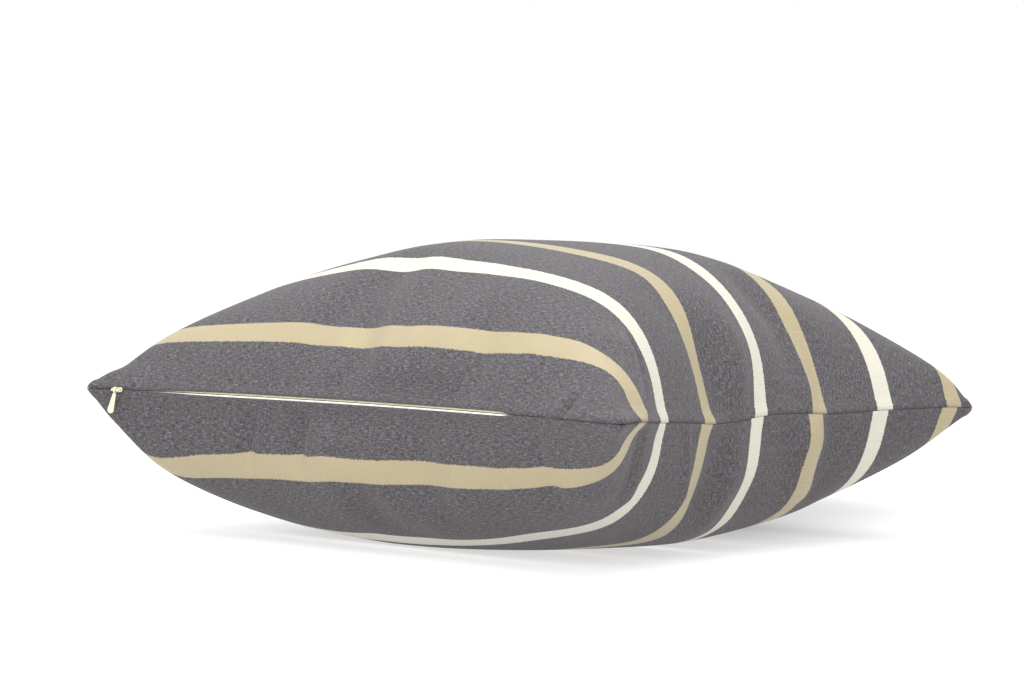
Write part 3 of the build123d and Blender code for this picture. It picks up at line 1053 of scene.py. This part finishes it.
def seamSpots(quarter, along, inward):
    # points inside a seam, a little in from it, given how far round the side they are
    half = shape["flatHalf"]
    u = np.asarray(along, float) * half / arcHalf
    v = 0 * u - half
    inX, inY = u / arcRadius * arcHalf / half, 0 * u + 1
    for turn in range(quarter):
        u, v = -v, u
        inX, inY = -inY, inX
    rim = (onCloth(0, u, v) + onCloth(1, u, v)) / 2
    depth = np.minimum(inward, (half - np.minimum(np.abs(u), np.abs(v))) * panelShape["earTrim"])
    return rim + np.stack([inX * depth, inY * depth, 0 * depth], axis=1)


def sewSeams():
    grey = threadMaterial("greyThread", tint(78, 74, 80), tint(150, 146, 146))
    pitch, end = stitching["pitch"], stitching["plainEnd"]
    sizes = stitching["long"], stitching["thick"]
    starts = {"seam_thread_right": (1, -end), "seam_thread_back": (2, -end), "seam_thread_left": (3, -end),
              "seam_thread_zip_end": (0, stitching["afterZip"])}
    for name, (quarter, start) in starts.items():
        spots = seamSpots(quarter, np.arange(start, end, pitch), stitching["inward"])
        piece = stitchRow(camel(name), spots, runsOf(spots, stitching["lean"]), *sizes)
        dress(piece, grey, "cover", "sewing_thread", name)
    pitch = stitching["overlockPitch"]
    sizes = stitching["overlockLong"], stitching["overlockThick"]
    for quarter, name in ((1, "overlock_right"), (2, "overlock_back"), (3, "overlock_left")):
        along = np.arange(-end, end, pitch)
        spots = seamSpots(quarter, along, turning["plain"][-1][0])
        zigzag = np.where(np.arange(len(along)) % 2, 1, -1)[:, None] * np.array([stitching["overlockLean"]])
        piece = stitchRow(camel(name), spots, runsOf(spots) + zigzag, *sizes)
        dress(piece, grey, "cover", "sewing_thread", name)
    across, behind = turning["folded"][-1]
    for panel, name in ((0, "overlock_zip_upper"), (1, "overlock_zip_lower")):
        along = np.arange(*turning["foldEnds"], pitch) * shape["flatHalf"] / arcHalf
        spots = onCloth(panel, along, across - shape["flatHalf"] + 0 * along, behind - 0.0004 + 0 * along)
        zigzag = np.where(np.arange(len(along)) % 2, 1, -1)[:, None] * np.array([stitching["zipLean"]])
        piece = stitchRow(camel(name), spots, runsOf(spots) + zigzag, *sizes)
        dress(piece, grey, "cover", "sewing_thread", name)
    white = threadMaterial("whiteThread", tint(214, 214, 210), tint(246, 246, 244))
    half = insert["half"]
    walk = np.arange(-half, half, stitching["overlockPitch"])
    still = 0 * walk + half
    sides = (walk, -still), (still, walk), (-walk, still), (-still, -walk)
    rim = np.concatenate([np.stack(pair, axis=1) for pair in sides])
    spots = midSeam(rim[:, 0], rim[:, 1], np.full(len(rim), insert["depth"]))
    piece = stitchRow("insertSeamThread", spots, runsOf(spots, stitching["insertLean"]), *sizes)
    dress(piece, white, "cover", "insert_cloth", "insert_seam_thread")
    print("seams sewn")


def camel(name):
    first, *rest = name.split("_")
    return first + "".join(word.capitalize() for word in rest)


zipParts = {
    "cells": 260,
    "thick": 0.0003,
    # the tape curls round its coil at the slit: place on the tape, then inward and off the seam
    "curl": [(0.0, 0.0030, 0.00050), (0.0008, 0.0018, 0.00026), (0.0016, 0.0006, 0.00020),
             (0.0021, 0.00015, 0.00052), (0.0026, 0.00025, 0.00110), (0.0032, 0.0012, 0.00175),
             (0.0040, 0.0021, 0.0024)],
    "shyness": 0.0012,          # the tape keeps this much further in where the slit is shut
    "wallFrom": 0.0034,         # from here to wallTo the tape goes over to the folded cloth
    "wallTo": 0.0056,
    "reach": 0.0104,
    "depth": 0.0024,
    "tail": 0.005,
    "stopLength": 0.0025,
    "coilIn": 0.00336,
    "coilRise": 0.0010,
    "coilRadius": 0.00050,
    "wire": 0.00015,
    "pitch": 0.0014,
    "turnSteps": 7,
    "wireSides": 5,
    "stitchAcross": 0.0062,
}


def zipTape(panel, name, material):
    side = 1 if panel == 0 else -1
    half = shape["flatHalf"]
    start, end = shape["zipStart"] - zipParts["tail"], shape["zipEnd"] + zipParts["tail"]
    curl = np.array(zipParts["curl"])

    def shapeOf(x, y):
        along = start + x * (end - start)
        across = (y ** 1.25) * zipParts["reach"]
        inward = np.interp(across, curl[:, 0], curl[:, 1])
        inward += zipParts["shyness"] * (1 - slitOpening(along)) * (across < zipParts["wallFrom"])
        rise = np.interp(across, curl[:, 0], curl[:, 2])
        slit = arcPoint(along, inward, side * rise)
        wall = onCloth(panel, along * half / arcHalf, across - half, zipParts["depth"] + 0 * along)
        share = smooth(across, zipParts["wallFrom"], zipParts["wallTo"])[:, None]
        return slit * (1 - share) + wall * share, np.stack([along, across * side], axis=1)

    piece = gridPiece(camel(name), zipParts["cells"], 22, shapeOf)
    thicken(piece, zipParts["thick"], offset=-side)
    return dress(piece, material, "cover", "zip_tape", name)


def zipCoil(side, name, material):
    # a coil of nylon wire, spun straight and then bent round the side's arc
    start = shape["zipStart"] + zipParts["stopLength"]
    end = shape["zipEnd"] - zipParts["stopLength"]
    turns = int((end - start) / zipParts["pitch"])
    steps = turns * zipParts["turnSteps"]
    bm = bmesh.new()
    made = bmesh.ops.create_circle(bm, segments=zipParts["wireSides"], radius=zipParts["wire"])
    bmesh.ops.translate(bm, verts=made["verts"], vec=(zipParts["coilRadius"], 0, 0))
    bmesh.ops.rotate(bm, verts=bm.verts, cent=(0, 0, 0), matrix=Matrix.Rotation(math.pi / 2, 3, "X"))
    bmesh.ops.spin(bm, geom=bm.verts[:] + bm.edges[:], cent=(0, 0, 0), axis=(0, 0, 1),
                   dvec=(0, 0, (end - start) / steps), angle=2 * math.pi * turns, steps=steps)
    ends = [edge for edge in bm.edges if edge.is_boundary]
    bmesh.ops.holes_fill(bm, edges=ends, sides=zipParts["wireSides"])
    bmesh.ops.recalc_face_normals(bm, faces=bm.faces)
    for vert in bm.verts:
        along = start + vert.co.z
        rise = side * (zipParts["coilRise"] + vert.co.y)
        spot = arcPoint(np.float64(along), zipParts["coilIn"] + vert.co.x, rise)
        vert.co = Vector(spot)
    for face in bm.faces:
        face.smooth = True
    if side < 0:
        bmesh.ops.recalc_face_normals(bm, faces=bm.faces)
    piece = newPiece(camel(name), bm)
    return dress(piece, material, "cover", "zip_coil", name)


def tapeCloth(name, dark, pale):
    material, tree, surface = newMaterial(
        name, **{"Roughness": 0.75, "Sheen Weight": 0.2, "Specular IOR Level": 0.35})
    place = node(tree, "UVMap", uv_map="cloth").outputs["UV"]
    ribs = clothNoise(tree, place, 1800, 300, 1.0)
    mottle(tree, surface, stretchRange(tree, ribs, 0.3, 0.7), dark, pale, ribs, 0.5, 0.0002)
    return material


def creamMetal():
    material, tree, surface = newMaterial(
        "creamEnamel", **{"Roughness": 0.32, "Coat Weight": 0.4, "Coat Roughness": 0.2})
    place = node(tree, "TexCoord").outputs["Object"]
    wear = node(tree, "TexNoise", {"Vector": place, "Scale": 420, "Detail": 3.0}).outputs["Fac"]
    share = stretchRange(tree, wear, 0.3, 0.75)
    mottle(tree, surface, share, tint(226, 223, 192), tint(209, 205, 164), wear, 0.08, 0.0002)
    return material


def coilNylon():
    material, tree, surface = newMaterial(
        "coilNylon", **{"Roughness": 0.3})
    place = node(tree, "TexCoord").outputs["Object"]
    cloud = node(tree, "TexNoise", {"Vector": place, "Scale": 900, "Detail": 2.0}).outputs["Fac"]
    mottle(tree, surface, cloud, tint(214, 210, 190), tint(242, 240, 226))
    return material


def makeZip():
    # both tapes are one cloth; the upper tape's darker khaki tints are painted shade, for the slit's shadow
    # under the top panel
    tapes = (tapeCloth("upperTapePaintedShade", tint(158, 154, 124), tint(198, 194, 166)),
             tapeCloth("lowerTapeCloth", tint(226, 224, 208), tint(252, 251, 244)))
    nylon = coilNylon()
    pale = threadMaterial("tapeThread", tint(190, 186, 166), tint(232, 230, 214))
    half = shape["flatHalf"]
    for panel, word in ((0, "upper"), (1, "lower")):
        side = 1 if panel == 0 else -1
        zipTape(panel, f"zip_tape_{word}", tapes[panel])
        zipCoil(side, f"zip_coil_{word}", nylon)
        along = np.arange(shape["zipStart"], shape["zipEnd"], stitching["pitch"]) * half / arcHalf
        spots = onCloth(panel, along, zipParts["stitchAcross"] - half + 0 * along,
                        zipParts["depth"] + zipParts["thick"] + 0 * along)
        name = f"zip_stitch_{word}"
        row = stitchRow(camel(name), spots, runsOf(spots), stitching["long"], stitching["thick"])
        dress(row, pale, "cover", "sewing_thread", name)
    metal = creamMetal()
    for name in ("zip_top_stops", "zip_bottom_stop", "zip_slider", "zip_pull"):
        cadPart = frame["nodes"][name]
        cadPart.data.materials.clear()
        cadPart.data.materials.append(metal)
    print("zip made")


placeCamera()
lightStudio()
layFloor()
print("studio ready")
stuffed = stuffCover()
coverCloth = stripedCloth()
finishPanel(stuffed, 0, "coverTopPanel", "cover_top_panel", coverCloth)
finishPanel(stuffed, 1, "coverBottomPanel", "cover_bottom_panel", coverCloth)
bpy.data.objects.remove(stuffed)
makeInsert()
makeLabel()
sewSeams()
makeZip()
